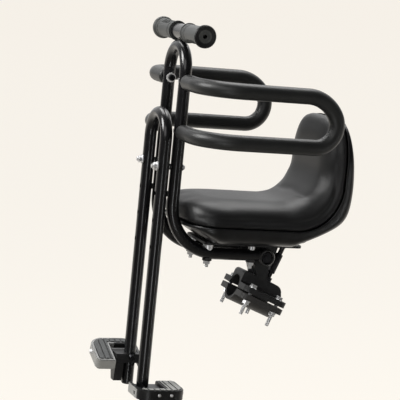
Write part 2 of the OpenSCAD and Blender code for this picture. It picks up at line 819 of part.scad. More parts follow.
// Thickness of the cushion at a station, from seat to back
function pad_t(st) =
    st[2] == 0 ? pad_seat_t + hollow(fillet_u - st[0])
    : st[2] == 90 ? pad_back_t + hollow(fillet_w - st[1])
    : seam_r - hollow_d(st[2]);

// One crowned slice of the cushion
module pad_slice(st) {
    hw = seat_hw * st[3];
    full = pad_t(st);
    low = gap + full * 0.24 * (1 - st[4]);
    top = full * 0.57 + full * 0.43 * st[4];
    edge = min(0.42 * (top - low), hw * 0.5);
    crown = 0.16 * (top - low);
    slice(st[0], st[1], st[2]) hull() {
        for (s = [-1, 1]) {
            translate([s * (hw - edge), top - crown - edge]) circle(edge, $fn = 20);
            translate([s * (hw - edge), low + edge * 0.5]) circle(edge * 0.5, $fn = 12);
            translate([s * (hw - 3) - 0.5, low]) square(1);
        }
        translate([0, top - 2 * crown]) scale([hw * 0.72, 2 * crown]) circle(1, $fn = 28);
    }
}

module seat_cushion() {
    sts = stations(fillet_steps);
    color([0.09, 0.09, 0.09]) in_seat() for (i = [0:len(sts) - 2]) hull() {
        pad_slice(sts[i]);
        pad_slice(sts[i + 1]);
    }
}

// Depth of the shell at angle phi of its corner: a rising belly line, then a rounded heel
function shell_depth(phi) =
    let (belly = (seam_r + shell_seat_t) / (cos(phi) + belly_rise * sin(phi)),
         heel = (seam_r + shell_back_t) / max(sin(phi), 0.001))
    pow(pow(belly, -8) + pow(heel, -8), -1 / 8) - seam_r;

// Share of the shell's depth left at height w of the back
function back_share(w) = w > seam_corner_w
    ? 1 - pow((w - seam_corner_w) / (back_top_w - seam_corner_w), 1.6) : 1;

// Depth of the shell under the seam at a station
function shell_t(st) =
    st[2] > 0 ? shell_depth(st[2])
    : shell_seat_t * min(1, (nose_u - 6 - st[0]) / (nose_l - 2) + 0.02);

function shell_end(st) = st[2] == 90 ? back_share(st[1]) : 1;

// One slice of the shell, inset by k for its cavity
module shell_slice(st, k) {
    hw = (seat_hw + 1) * st[3] - k;
    depth = max(3.5, shell_t(st) * shell_end(st)) - k;
    edge = min(0.46 * depth, 0.3 * hw);
    foot = min(0.16 * hw, 0.7 * depth);
    slice(st[0], st[1], st[2]) hull() for (s = [-1, 1]) {
        translate([s * (hw - 0.6) - 0.6, -0.9]) square([1.2, k > 0 ? 1.9 : 0.9]);
        translate([s * (hw - edge - foot), edge - depth]) circle(edge, $fn = 20);
        translate([s * (hw - 0.7 - 0.3 * edge), -0.3 * depth - 0.4]) circle(0.3 * edge, $fn = 12);
    }
}

module seat_shell() {
    sts = stations([]);
    n = len(sts);
    color([0.03, 0.03, 0.035]) in_seat() difference() {
        for (i = [0:n - 2]) hull() {
            shell_slice(sts[i], 0);
            shell_slice(sts[i + 1], 0);
        }
        for (i = [4:n - 7]) hull() {
            shell_slice(sts[i], shell_wall);
            shell_slice(sts[i + 1], shell_wall);
        }
    }
}

// Domed screws that hold the cushion through the shell, square to its belly
module shell_screws() {
    color([0.04, 0.04, 0.04]) in_seat() for (a = screw_angles, s = [-1, 1])
        translate([seam_corner_u - (seam_r + shell_depth(a)) * sin(a), s * screw_y,
                   seam_corner_w - (seam_r + shell_depth(a)) * cos(a)])
            rotate([0, 180 + atan(belly_rise), 0]) translate([0, 0, gap / 2]) intersection() {
                sphere(screw_r);
                cylinder(r = 2 * screw_r, h = 0.55 * screw_r);
            }
}

// SEAT BRACKET

ear_front_u = 24;
ear_rear_u = 24;

module ear_outline() {
    difference() {
        union() {
            circle(ear_r);
            polygon([[-ear_rear_u, plate_w + 1], [ear_front_u, plate_w + 1],
                     [ear_r * cos(15), ear_r * sin(15) - 4], [0, -ear_r + 0.5],
                     [-ear_r * cos(15), ear_r * sin(15) - 4]]);
        }
        circle(pivot_d / 2 + run_clear);
    }
}

// Steel plate on the runs with two ears down to the pivot
module seat_bracket() {
    color([0.2, 0.2, 0.21]) in_seat() difference() {
        union() {
            translate([0, 0, plate_w]) linear_extrude(plate_t)
                round_rect(-plate_rear_u, plate_front_u, -half_gap - 10, half_gap + 10, 9);
            for (s = [-1, 1])
                translate([0, s > 0 ? ear_out : -ear_in, 0]) rotate([90, 0, 0])
                    linear_extrude(ear_t) ear_outline();
        }
        at_base_bolts() translate([0, 0, plate_w - 1])
            cylinder(d = frame_bolt_d + 2 * hole_clear, h = plate_t + 2);
    }
}

// A solid rod of diameter d along the run and its bend
module run_rod(d) {
    translate([0, 0, run_w]) rotate([0, 90, 0]) cylinder(d = d, h = leg_u - run_bend_r);
    translate([leg_u - run_bend_r, 0, run_w + run_bend_r]) rotate([90, 0, 0])
        rotate([0, 0, -90]) rotate_extrude(angle = 90, $fn = 96)
            translate([run_bend_r, 0]) circle(d = d, $fn = 48);
}

// Bright spacers that stand on the runs and carry the plate, the front ones wider
module base_spacers() {
    color([0.75, 0.75, 0.76]) in_seat() for (s = [-1, 1]) translate([0, s * half_gap, 0]) difference() {
        for (u = [base_front_u, base_rear_u]) translate([u, 0, run_w])
            cylinder(r = u == base_front_u ? 8 : 5.5, h = plate_w - run_w);
        run_rod(frame_d);
        for (u = [base_front_u, base_rear_u]) translate([u, 0, run_w])
            cylinder(d = frame_bolt_d + 2 * hole_clear, h = 2 * frame_d);
    }
}

saddle_t = 2;

module base_bolts() {
    color([0.75, 0.75, 0.76]) in_seat() at_base_bolts() {
        translate([0, 0, run_w - frame_d / 2 - saddle_t - nut_h - 5])
            cylinder(d = frame_bolt_d, h = plate_top_w - run_w + frame_d / 2 + saddle_t + nut_h + 5);
    }
}

module base_nuts() {
    color([0.75, 0.75, 0.76]) in_seat() at_base_bolts()
        translate([0, 0, run_w - frame_d / 2 - saddle_t - nut_h])
            nut(nut_af, nut_h, frame_bolt_d / 2 + run_clear);
}

// Saddle washers that seat the nuts on the round tube
module base_saddles() {
    color([0.05, 0.05, 0.05]) in_seat() at_base_bolts() difference() {
        translate([0, 0, run_w - frame_d / 2 - saddle_t]) cylinder(r = 7.5, h = saddle_t + 3);
        translate([-12, 0, run_w]) rotate([0, 90, 0]) cylinder(d = frame_d, h = 24);
        translate([0, 0, run_w - frame_d]) cylinder(d = frame_bolt_d + 2 * hole_clear, h = frame_d);
    }
}

// FOOTRESTS
// One moulding serves both sides: the right one is the left one turned half round.
// Local X is fore and aft, Y points outboard, Z up, and the origin is on the leg's axis.

// Places a child at the leg of side i: 0 left, 1 right
module at_foot(i) {
    in_seat() translate([low_u, [1, -1][i] * half_gap, foot_bolt_w[i]])
        rotate([0, 0, [0, 180][i]]) children();
}

// The same, folded up about the pin as it stands
module at_platform(i) {
    at_foot(i) translate([0, foot_pin_y, 0]) rotate([[0, foot_right_fold][i], 0, 0])
        translate([0, -foot_pin_y, 0]) children();
}

module platform_outline(inset) {
    x0 = inset - foot_rear;
    x1 = foot_front - inset;
    y0 = inset - foot_in;
    y1 = foot_out - inset;
    r0 = 8 - inset;
    r1 = foot_r - inset;
    difference() {
        union() {
            round_rect(x0, x1, y0, y1 - r1 + r0, r0);
            translate([x0 + r1, y1 - r1]) square([x1 - x0 - 2 * r1, r1]);
            for (x = [x0 + r1, x1 - r1]) translate([x, y1 - r1]) circle(r1);
        }
        translate([-foot_slot_long - inset, -foot_in - 1])
            square([foot_slot_long + foot_slot_short + 2 * inset, foot_slot_y + foot_in + 1 + inset]);
    }
}

module platform() {
    difference() {
        union() {
            translate([0, 0, -foot_t / 2 + 3]) linear_extrude(foot_t - 3 - 1.2) platform_outline(0);
            translate([0, 0, foot_t / 2 - 1.2 - eps]) linear_extrude(1.2) platform_outline(1);
            translate([0, 0, -foot_t / 2]) linear_extrude(3 + eps) platform_outline(3);
        }
        // recess for the tread
        translate([0, 0, foot_t / 2 - tread_t + rib_h]) linear_extrude(tread_t) platform_outline(tread_in);
        // hollow underside behind the walls
        translate([0, 0, -foot_t / 2 - 1]) linear_extrude(foot_t - 7) difference() {
            round_rect(foot_r / 2 - foot_rear, foot_front - foot_r / 2, foot_slot_y + 4, foot_out - 6, 4);
            for (x = [14 - foot_rear:14:foot_front]) translate([x, 0]) square([2, foot_out]);
        }
        translate([-foot_rear - 1, foot_pin_y, 0]) rotate([0, 90, 0])
            cylinder(d = foot_pin_d + 2 * run_clear, h = foot_l + 2);
    }
}

// Rubber tread, its broad ribs running out from the leg
module tread() {
    base_z = foot_t / 2 - tread_t + rib_h;
    difference() {
        translate([0, 0, base_z]) linear_extrude(tread_t - rib_h) platform_outline(tread_in + 0.2);
        translate([-foot_rear, foot_pin_y, 0]) rotate([0, 90, 0])
            cylinder(d = foot_pin_d + 2, h = foot_l);
    }
    intersection() {
        translate([0, 0, base_z]) linear_extrude(tread_t) platform_outline(tread_in + 0.2);
        for (x = [-foot_rear + 5:9.5:foot_front])
            translate([x, -foot_in, base_z + tread_t - rib_h - eps])
                cube([7, foot_in + foot_out, rib_h + eps]);
    }
}

module left_footrest() {
    color([0.05, 0.05, 0.05]) at_platform(0) platform();
}

module right_footrest() {
    color([0.05, 0.05, 0.05]) at_platform(1) platform();
}

module left_tread() {
    color([0.3, 0.3, 0.3]) at_platform(0) tread();
}

module right_tread() {
    color([0.3, 0.3, 0.3]) at_platform(1) tread();
}

// Domed screws in the outer edge of a platform
module edge_screws() {
    for (k = [0.32, 0.58]) translate([k * foot_l - foot_rear, foot_out, 2.5])
        rotate([-90, 0, 0]) intersection() {
            translate([0, 0, -1.8]) sphere(3.2);
            cylinder(r = 4, h = 4);
        }
}

module left_edge_screws() {
    color([0.7, 0.7, 0.7]) at_platform(0) edge_screws();
}

module right_edge_screws() {
    color([0.7, 0.7, 0.7]) at_platform(1) edge_screws();
}

// Bracket that wraps the leg and carries the pin, with a gusset below its long side
module foot_bracket() {
    difference() {
        union() {
            translate([-bracket_long, -bracket_in, -bracket_h + 5])
                cube([bracket_long + bracket_short, bracket_in + foot_pin_y, bracket_h]);
            translate([-bracket_long, foot_pin_y, 0]) rotate([0, 90, 0])
                cylinder(r = 7, h = bracket_long + bracket_short);
            translate([-bracket_long, 0, 0]) rotate([90, 0, 90]) linear_extrude(bracket_long - 12)
                polygon([[-bracket_in, -4], [foot_pin_y, -4], [foot_pin_y - 4, -14],
                         [8, -bracket_tail], [-6, -bracket_tail]]);
        }
        translate([0, 0, -bracket_tail - 1]) cylinder(d = frame_d, h = bracket_tail + 20);
        translate([-bracket_long - 1, foot_pin_y, 0]) rotate([0, 90, 0])
            cylinder(d = foot_pin_d + 2 * run_clear, h = bracket_long + bracket_short + 2);
        translate([0, -bracket_in - 1, 0]) rotate([-90, 0, 0])
            cylinder(d = frame_bolt_d + 2 * hole_clear, h = bracket_in + foot_nut_y + foot_nut_h + 2.5);
        // pocket that takes the nut from below
        translate([-nut_af / 2 - 0.1, foot_nut_y - 0.1, -20])
            cube([nut_af + 0.2, foot_nut_h + 0.2, 20 + nut_af * 0.58]);
    }
}

module left_foot_bracket() {
    color([0.12, 0.12, 0.12]) at_foot(0) foot_bracket();
}

module right_foot_bracket() {
    color([0.12, 0.12, 0.12]) at_foot(1) foot_bracket();
}

module foot_bracket_bolts() {
    color([0.7, 0.7, 0.71]) for (i = [0, 1]) at_foot(i) rotate([-90, 0, 0]) {
        translate([0, 0, -bracket_in])
            cylinder(d = frame_bolt_d, h = bracket_in + foot_nut_y + foot_nut_h + 0.4);
        translate([0, 0, -bracket_in - head_h])
            cylinder(d1 = frame_bolt_d, d2 = 2 * frame_bolt_d - 1, h = head_h);
    }
}

module foot_bracket_nuts() {
    color([0.7, 0.7, 0.71]) for (i = [0, 1]) at_foot(i) rotate([-90, 0, 0]) rotate([0, 0, 30])
        translate([0, 0, foot_nut_y]) nut(nut_af, foot_nut_h, frame_bolt_d / 2 + run_clear);
}

module foot_pin() {
    translate([-foot_rear, foot_pin_y, 0]) rotate([0, 90, 0]) cylinder(d = foot_pin_d, h = foot_l - 3);
    translate([-foot_rear - 3, foot_pin_y, 0]) rotate([0, 90, 0])
        cylinder(d1 = foot_pin_d, d2 = foot_pin_d + 3, h = 3);
}

module left_foot_pin() {
    color([0.6, 0.6, 0.6]) at_platform(0) foot_pin();
}

module right_foot_pin() {
    color([0.6, 0.6, 0.6]) at_platform(1) foot_pin();
}

clamp_upper();
clamp_lower();
upper_liner();
lower_liner();
clamp_bolts();
clamp_nuts();
clamp_washers();
pivot_bushes();
friction_washers();
pivot_bolt();
pivot_nut();
pivot_caps();
prop_stud();
prop_sleeve();
prop_locknut();
prop_screw();
upper_frame();
run_plugs();
handle_bar();
left_grip();
right_grip();
lower_frame();
leg_plugs();
height_bolts();
height_nuts();
frame_spacers();
left_arm_tube();
right_arm_tube();
left_arm_foam();
right_arm_foam();
arm_bolts();
arm_washers();
seat_cushion();
seat_shell();
shell_screws();
seat_bracket();
base_spacers();
base_bolts();
base_nuts();
base_saddles();
left_foot_bracket();
right_foot_bracket();
foot_bracket_bolts();
foot_bracket_nuts();
left_foot_pin();
right_foot_pin();
left_footrest();
right_footrest();
left_tread();
right_tread();
left_edge_screws();
right_edge_screws();
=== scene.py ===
import math
import bmesh
import bpy
import numpy as np
from mathutils import Matrix, Vector


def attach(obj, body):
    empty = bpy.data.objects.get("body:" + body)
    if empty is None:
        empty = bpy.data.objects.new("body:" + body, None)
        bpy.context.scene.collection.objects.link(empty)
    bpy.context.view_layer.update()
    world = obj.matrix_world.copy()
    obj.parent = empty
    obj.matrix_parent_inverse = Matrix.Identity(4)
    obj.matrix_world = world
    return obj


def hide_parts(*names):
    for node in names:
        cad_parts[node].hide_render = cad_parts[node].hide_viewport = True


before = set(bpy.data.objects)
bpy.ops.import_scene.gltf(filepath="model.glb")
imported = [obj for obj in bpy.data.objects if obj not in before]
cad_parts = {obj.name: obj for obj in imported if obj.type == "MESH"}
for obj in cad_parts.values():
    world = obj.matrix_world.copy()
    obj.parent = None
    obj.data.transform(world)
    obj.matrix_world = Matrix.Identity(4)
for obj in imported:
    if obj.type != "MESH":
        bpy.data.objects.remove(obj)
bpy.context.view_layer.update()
bpy.ops.object.select_all(action='DESELECT')

# The studio. A pale floor lies well below the seat, which hangs free as it does
# on its tube, lit by soft daylight from all round, three broad lamps and two
# narrow ones. The camera stands at the rider's left, a little ahead and above.
camera_turn = math.radians(19.39)
camera_tilt = math.radians(9.98)
look = Vector((-math.sin(camera_turn) * math.cos(camera_tilt),
               -math.cos(camera_turn) * math.cos(camera_tilt),
               -math.sin(camera_tilt)))
bpy.ops.object.camera_add(location=(0.9901, 2.5572, 0.6358))
camera = bpy.context.object
camera.rotation_euler = look.to_track_quat('-Z', 'Y').to_euler()
camera.data.sensor_width = 36
camera.data.lens = 157.4
camera.data.clip_end = 200
bpy.context.scene.camera = camera
bpy.context.scene.view_settings.view_transform = 'Standard'


def lamp(name, place, target, size, power, colour):
    bpy.ops.object.light_add(type='AREA', location=place)
    light = bpy.context.object
    light.name = name
    aim = Vector(target) - Vector(place)
    light.rotation_euler = aim.to_track_quat('-Z', 'Y').to_euler()
    light.data.shape = 'RECTANGLE'
    light.data.size, light.data.size_y = size
    light.data.energy = power
    light.data.color = colour


warm, cool = (1, 0.995, 0.985), (0.97, 0.985, 1)
lamp('overhead_lamp', (-0.35, -0.9, 2.15), (0.0, 0, 0.1), (2.2, 1.4), 40, warm)
lamp('front_lamp', (1.75, -0.1, 1.5), (0.05, 0, 0.1), (1.0, 0.9), 42, (1, 0.995, 0.98))
lamp('fill_lamp', (1.9, 2.3, 1.9), (0.05, 0, 0.0), (2.0, 2.0), 20, warm)
lamp('left_strip', (0.69, 1.13, -0.2), (0.0, 0, -0.2), (0.10, 0.7), 1.6, cool)
lamp('right_strip', (-0.82, 1.02, -0.2), (0.0, 0, -0.2), (0.07, 0.7), 0.9, cool)

bpy.ops.mesh.primitive_plane_add(size=60, location=(0, 0, -0.62))
floor = bpy.context.object
floor.name = 'floor'
bpy.ops.object.transform_apply(location=True, rotation=True, scale=True)


class Tone:
    """A value in a finish. Sums on it become Math nodes."""

    def __init__(self, finish, socket):
        self.finish = finish
        self.socket = socket

    def reckon(self, operation, a, b):
        return self.finish.node('ShaderNodeMath', dict(operation=operation), {0: a, 1: b})

    def __add__(self, other):
        return self.reckon('ADD', self, other)

    def __radd__(self, other):
        return self.reckon('ADD', other, self)

    def __sub__(self, other):
        return self.reckon('SUBTRACT', self, other)

    def __rsub__(self, other):
        return self.reckon('SUBTRACT', other, self)

    def __mul__(self, other):
        return self.reckon('MULTIPLY', self, other)

    def __truediv__(self, other):
        return self.reckon('DIVIDE', self, other)

    def size(self):
        return self.reckon('ABSOLUTE', self, None)

    def above(self, other):
        return self.reckon('GREATER_THAN', self, other)

    def top(self, other):
        return self.reckon('MAXIMUM', self, other)

    def low(self, other):
        return self.reckon('MINIMUM', self, other)


class Finish:
    """One material, with its shader and a way to add nodes and feed sockets."""

    def __init__(self, name, **plain):
        self.material = bpy.data.materials.new(name)
        self.material.use_nodes = True
        self.tree = self.material.node_tree
        self.tree.nodes.clear()
        self.shader = self.node('ShaderNodeBsdfPrincipled', out=None)
        self.end = self.node('ShaderNodeOutputMaterial', out=None)
        self.join(self.end.inputs['Surface'], Tone(self, self.shader.outputs[0]))
        self.feed(**plain)

    def join(self, socket, value):
        if isinstance(value, Tone):
            self.tree.links.new(value.socket, socket)
        elif value is not None:
            socket.default_value = value

    def node(self, kind, settings=(), values=(), out=0):
        """Adds a node and gives the value of one of its outputs, or the node itself."""
        new = self.tree.nodes.new(kind)
        for key, value in dict(settings).items():
            if key == 'stops':
                while len(new.color_ramp.elements) < len(value):
                    new.color_ramp.elements.new(0.5)
                for stop, (at, colour) in zip(new.color_ramp.elements, value):
                    stop.position = at
                    stop.color = (*np.broadcast_to(colour, 3), 1)
            else:
                setattr(new, key, value)
        for key, value in dict(values).items():
            self.join(new.inputs[key], value)
        return new if out is None else Tone(self, new.outputs[out])

    def feed(self, **values):
        for key, value in values.items():
            if isinstance(value, tuple):
                value = (*value, 1)
            self.join(self.shader.inputs[key.replace('_', ' ')], value)

    def place(self, turn=(0, 0, 0)):
        spot = self.node('ShaderNodeTexCoord', out='Object')
        return self.node('ShaderNodeMapping', {}, {'Vector': spot, 'Rotation': turn})

    def noise(self, scale, detail=2, rough=0.5):
        return self.node('ShaderNodeTexNoise', {}, {
            'Vector': self.place(), 'Scale': scale, 'Detail': detail, 'Roughness': rough})

    def cells(self, scale, feature='F1'):
        return self.node('ShaderNodeTexVoronoi', dict(feature=feature),
                         {'Vector': self.place(), 'Scale': scale}, 'Distance')

    def mix(self, share, a, b):
        a, b = ((*side, 1) if isinstance(side, tuple) else side for side in (a, b))
        return self.node('ShaderNodeMix', dict(data_type='RGBA'), {0: share, 6: a, 7: b}, 2)

    def ramp(self, value, *stops):
        return self.node('ShaderNodeValToRGB', dict(stops=stops), {'Fac': value})

    def cloudy(self, cloud, dark, light, top=0.8):
        """A colour that drifts between two tones with a soft noise."""
        return self.ramp(cloud, (0.3, dark), (top, light))

    def along(self, start, way):
        """Distance from a point of the part along a direction."""
        spot = self.node('ShaderNodeTexCoord', out='Object')
        away = self.node('ShaderNodeVectorMath', dict(operation='SUBTRACT'),
                         {0: spot, 1: tuple(start)})
        return self.node('ShaderNodeVectorMath', dict(operation='DOT_PRODUCT'),
                         {0: away, 1: tuple(way)}, 'Value')

    def relief(self, height, depth, strength, under=None):
        return self.node('ShaderNodeBump', {}, {
            'Height': height, 'Distance': depth, 'Strength': strength, 'Normal': under})

    def on(self, *names):
        """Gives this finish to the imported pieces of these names."""
        for name in names:
            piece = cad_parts[name]
            if not piece.material_slots:
                piece.data.materials.append(self.material)
            for held in piece.material_slots:
                held.material = self.material


class Daylight(Finish):
    """The light that comes from all round the room."""

    def __init__(self, world):
        world.use_nodes = True
        self.tree = world.node_tree
        self.tree.nodes.clear()


# The room. Seen straight it is pale all round. In a gloss a white sheet stands
# far behind the seat and the rest is dim. The floor's paper, which runs on to
# that sheet, glows with a painted pool of light, palest near the seat, and in a
# gloss a painted shade makes it dimmer on the near side. The floor still takes
# the shadow.
BEHIND = (-0.332, -0.943, 0)
ABOVE_BEHIND = (-0.288, -0.817, 0.5)
PALE = (0.93, 0.885, 0.81)
studio = bpy.context.scene.world or bpy.data.worlds.new('studio')
bpy.context.scene.world = studio
sky = Daylight(studio)
toward = sky.node('ShaderNodeTexCoord', out='Generated')
facing = sky.node('ShaderNodeVectorMath', dict(operation='DOT_PRODUCT'),
                  {0: toward, 1: ABOVE_BEHIND}, 'Value')
room = sky.ramp(facing * 0.5 + 0.5, (0.45, 0.06), (0.78, 0.22), (0.92, 1.0))
straight = sky.node('ShaderNodeLightPath', out='Is Camera Ray')
daylight = sky.node('ShaderNodeBackground', {}, {
    'Color': sky.mix(straight, room, PALE), 'Strength': 1.0})
sky.node('ShaderNodeOutputWorld', {}, {'Surface': daylight}, None)

PAPER_REACH = 24
paper = Finish('studio_paper', Roughness=0.9, Base_Color=(0.9, 0.86, 0.78))
rays = paper.node('ShaderNodeLightPath', out=None)
camera_ray, mirrored, through = (
    Tone(paper, rays.outputs['Is %s Ray' % kind]) for kind in ('Camera', 'Glossy', 'Transmission'))
seen = camera_ray.top(mirrored).top(through)
spot = paper.node('ShaderNodeTexCoord', out='Object')
away = paper.node('ShaderNodeVectorMath', dict(operation='LENGTH'), {0: spot}, 'Value')
# Painted pool of light: the paper's glow fades with distance from the seat.
tone = paper.ramp(away / PAPER_REACH, (0.04, (1.0, 0.957, 0.885)), (0.6, (0.985, 0.935, 0.86)))
depth = paper.node('ShaderNodeVectorMath', dict(operation='DOT_PRODUCT'),
                   {0: spot, 1: BEHIND}, 'Value')
# Painted shade: in a gloss the paper's glow is dimmer on the near side.
dim = paper.ramp(depth / 4 + 0.5, (0.35, 0.05), (0.5, 0.2), (0.65, 0.95))
glow = paper.node('ShaderNodeEmission', {}, {'Color': tone, 'Strength': 1 - mirrored * (1 - dim)})
sheet = Tone(paper, paper.shader.outputs[0])
whole = paper.node('ShaderNodeMixShader', {}, {0: seen * 0.9, 1: sheet, 2: glow})
paper.join(paper.end.inputs['Surface'], whole)
floor.data.materials.append(paper.material)

# Frame tubes. Two arches of bent steel tube, the lower one set height by height
# on the upper one, with the handle bar and the tubes inside the armrests. All
# are powder coated in gloss black, slightly rippled and rubbed.
paint = Finish('gloss_black_coat', IOR=1.5, Coat_Roughness=0.06, Coat_Weight=0.25)
ripple = paint.noise(420, 3, 0.55)
smudge = paint.noise(34, 4, 0.6)
paint.feed(Base_Color=paint.cloudy(smudge, (0.003, 0.003, 0.0035), (0.006, 0.006, 0.007), 0.75),
           Roughness=0.17 + smudge * 0.13, Normal=paint.relief(ripple, 0.00012, 0.35))
paint.on('upper_frame', 'lower_frame', 'handle_bar', 'left_arm_tube', 'right_arm_tube')

# Plugs, rubber rings and liners. Pressed-in plugs of black plastic close the
# tubes' open ends, and the screws in the shell are as plain. Rubber rings keep
# the arches apart where bolts pull them together, and rubber lines the clamp.
plug = Finish('plug_plastic', Specular_IOR_Level=0.4)
plug_grain = plug.noise(1800, 2)
plug_cloud = plug.noise(60, 3)
plug.feed(Base_Color=plug.cloudy(plug_cloud, (0.012, 0.012, 0.012), (0.022, 0.022, 0.023)),
          Roughness=0.45 + plug_grain * 0.15, Normal=plug.relief(plug_grain, 0.0001, 0.4))
plug.on('run_plugs', 'leg_plugs', 'frame_spacers', 'base_saddles', 'upper_liner', 'lower_liner',
        'shell_screws')

# Clamp and brackets. Two cast alloy halves are drawn together round the
# bicycle's tube by four bolts, and the upper one carries the yoke of the tilt
# pivot. Their coat is a little grainy, and so is that of the steel brackets.
cast = Finish('cast_black_coat', IOR=1.5)
sand = cast.noise(900, 4, 0.65)
cloud = cast.noise(45, 3)
cast.feed(Base_Color=cast.cloudy(cloud, (0.005, 0.005, 0.0055), (0.012, 0.012, 0.013)),
          Roughness=0.34 + cloud * 0.16, Normal=cast.relief(sand, 0.0003, 0.45))
cast.on('clamp_upper', 'seat_bracket', 'left_foot_bracket', 'right_foot_bracket')

cast_grey = Finish('cast_grey_coat', IOR=1.5)
grey_sand = cast_grey.noise(900, 4, 0.65)
grey_cloud = cast_grey.noise(45, 3)
cast_grey.feed(Base_Color=cast_grey.cloudy(grey_cloud, (0.018, 0.017, 0.016),
                                           (0.034, 0.032, 0.031)),
               Roughness=0.42 + grey_sand * 0.1, Normal=cast_grey.relief(grey_sand, 0.0003, 0.5))
cast_grey.on('clamp_lower')

# Bolts, nuts and washers. Those of the clamp, the frame and the seat's plate are
# zinc plated, with a thread cut along each bolt, and the bushes in the yoke are
# sintered bronze. The seat leans back and the clamp follows the tube's slope.
slope = math.radians(27.5)
lean = math.radians(6)
ZINC = (0.9, 0.9, 0.91)
THREAD_TURNS = 310


def threaded(name, colour, turn, rough, metal=1.0):
    """A finish for bolts: fine marks all over and a thread along the bolt's own axis."""
    steel = Finish(name, Metallic=metal)
    rub = steel.noise(700, 3, 0.6)
    stain = steel.noise(90, 4, 0.6)
    turns = steel.node('ShaderNodeTexWave',
                       dict(wave_type='BANDS', bands_direction='Z', wave_profile='SAW'),
                       {'Vector': steel.place(turn), 'Scale': THREAD_TURNS, 'Distortion': 0})
    dark = tuple(c * 0.72 for c in colour)
    steel.feed(Base_Color=steel.cloudy(stain, dark, colour, 0.7), Roughness=rough + stain * 0.2,
               Normal=steel.relief(turns, 0.0004, 0.5, steel.relief(rub, 0.00006, 0.3)))
    return steel


def plated(name, colour, rough, metal=1.0):
    """A finish for nuts, washers and plain pins: fine marks and a few stains."""
    steel = Finish(name, Metallic=metal)
    rub = steel.noise(600, 3, 0.6)
    stain = steel.noise(110, 4, 0.6)
    dark = tuple(c * 0.78 for c in colour)
    steel.feed(Base_Color=steel.cloudy(stain, dark, colour, 0.7), Roughness=rough + stain * 0.18,
               Normal=steel.relief(rub, 0.00008, 0.35))
    return steel


threaded('zinc_along_clamp', ZINC, (0, slope, 0), 0.3, 0.85).on('clamp_bolts')
threaded('zinc_along_frame', ZINC, (0, math.radians(90) + lean, 0), 0.28, 0.85).on(
    'height_bolts')
threaded('zinc_under_seat', ZINC, (0, lean, 0), 0.28, 0.85).on('base_bolts')
plated('zinc_plate', (0.92, 0.92, 0.93), 0.3, 0.85).on(
    'clamp_nuts', 'clamp_washers', 'height_nuts', 'base_nuts', 'foot_bracket_nuts',
    'base_spacers', 'left_edge_screws', 'right_edge_screws', 'left_foot_pin',
    'right_foot_pin', 'friction_washers')
plated('brushed_washer', (0.95, 0.95, 0.95), 0.5, 0.4).on('arm_washers')
plated('sintered_bronze', (0.45, 0.33, 0.18), 0.4).on('pivot_bushes')

# Pivot and prop. The seat tilts on a thick bolt with round plastic caps, and a
# screw with a rounded head, turned out of a long sleeve nut, props it from
# below. The steel is blackened, so its edges shine a little.
threaded('blackened_prop', (0.05, 0.05, 0.053), (0, slope, 0), 0.3, 0.8).on(
    'prop_stud', 'prop_screw')
plated('black_oxide', (0.045, 0.045, 0.048), 0.32).on(
    'prop_sleeve', 'prop_locknut', 'pivot_bolt', 'pivot_nut', 'arm_bolts', 'foot_bracket_bolts')
moulded = Finish('moulded_cap', IOR=1.48)
moulded_cloud = moulded.noise(80, 3)
moulded.feed(Base_Color=moulded.cloudy(moulded_cloud, (0.026, 0.026, 0.027),
                                       (0.042, 0.042, 0.044)),
             Roughness=0.2 + moulded_cloud * 0.14,
             Normal=moulded.relief(moulded.noise(1500, 2), 0.00006, 0.4))
moulded.on('pivot_caps')

# Seat shell. One moulding of black plastic lies under and behind the cushion,
# open on top, with a rounded belly and a low lip along the seam. It is bolted
# with the steel plate to the frame's runs, and its outside is finely textured.
PIVOT = (-0.0079295, 0, 0.066559)
in_seat = Matrix.Translation(PIVOT) @ Matrix.Rotation(-lean, 4, 'Y')
SEAM_W = 0.050
SEAM_BACK = 0.099
SEAM_R = 0.075
NOSE = 0.1475
NOSE_L = 0.046
BACK_TOP = 0.229
BACK_ROUND = 0.078
SEAT_HALF = 0.095
CORNER_U = SEAM_R - SEAM_BACK
CORNER_W = SEAM_W + SEAM_R
SHELL_SEAT_T = 0.0277
SHELL_BACK_T = 0.020
SHELL_OUT = 0.0012
SHELL_SIDE_ROUND, BELLY_ROUND, BELLY_STEPS = 0.4, 0.66, 28
FINE = 16


def seat_path():
    """Stations along the seam, nose first: place, turn, share of width, share of height."""
    def ended(a):
        return math.cos(a) ** 0.5, math.cos(a) ** 0.6
    steps = []
    for i in range(FINE + 1):
        a = math.radians(88 - 88 * i / FINE)
        steps.append((NOSE - NOSE_L + NOSE_L * math.sin(a), SEAM_W, 0.0, *ended(a)))
    start = NOSE - NOSE_L
    for i in range(1, FINE + 1):
        steps.append((start + (CORNER_U - start) * i / FINE, SEAM_W, 0.0, 1.0, 1.0))
    for i in range(1, 2 * FINE + 1):
        a = math.radians(90) * i / (2 * FINE)
        steps.append((CORNER_U - SEAM_R * math.sin(a), CORNER_W - SEAM_R * math.cos(a), a,
                      1.0, 1.0))
    top = BACK_TOP - BACK_ROUND
    for i in range(1, FINE // 2 + 1):
        steps.append((-SEAM_BACK, CORNER_W + (top - CORNER_W) * 2 * i / FINE, math.radians(90),
                      1.0, 1.0))
    for i in range(1, FINE + 1):
        a = math.radians(88 * i / FINE)
        steps.append((-SEAM_BACK, top + BACK_ROUND * math.sin(a), math.radians(90), *ended(a)))
    return steps


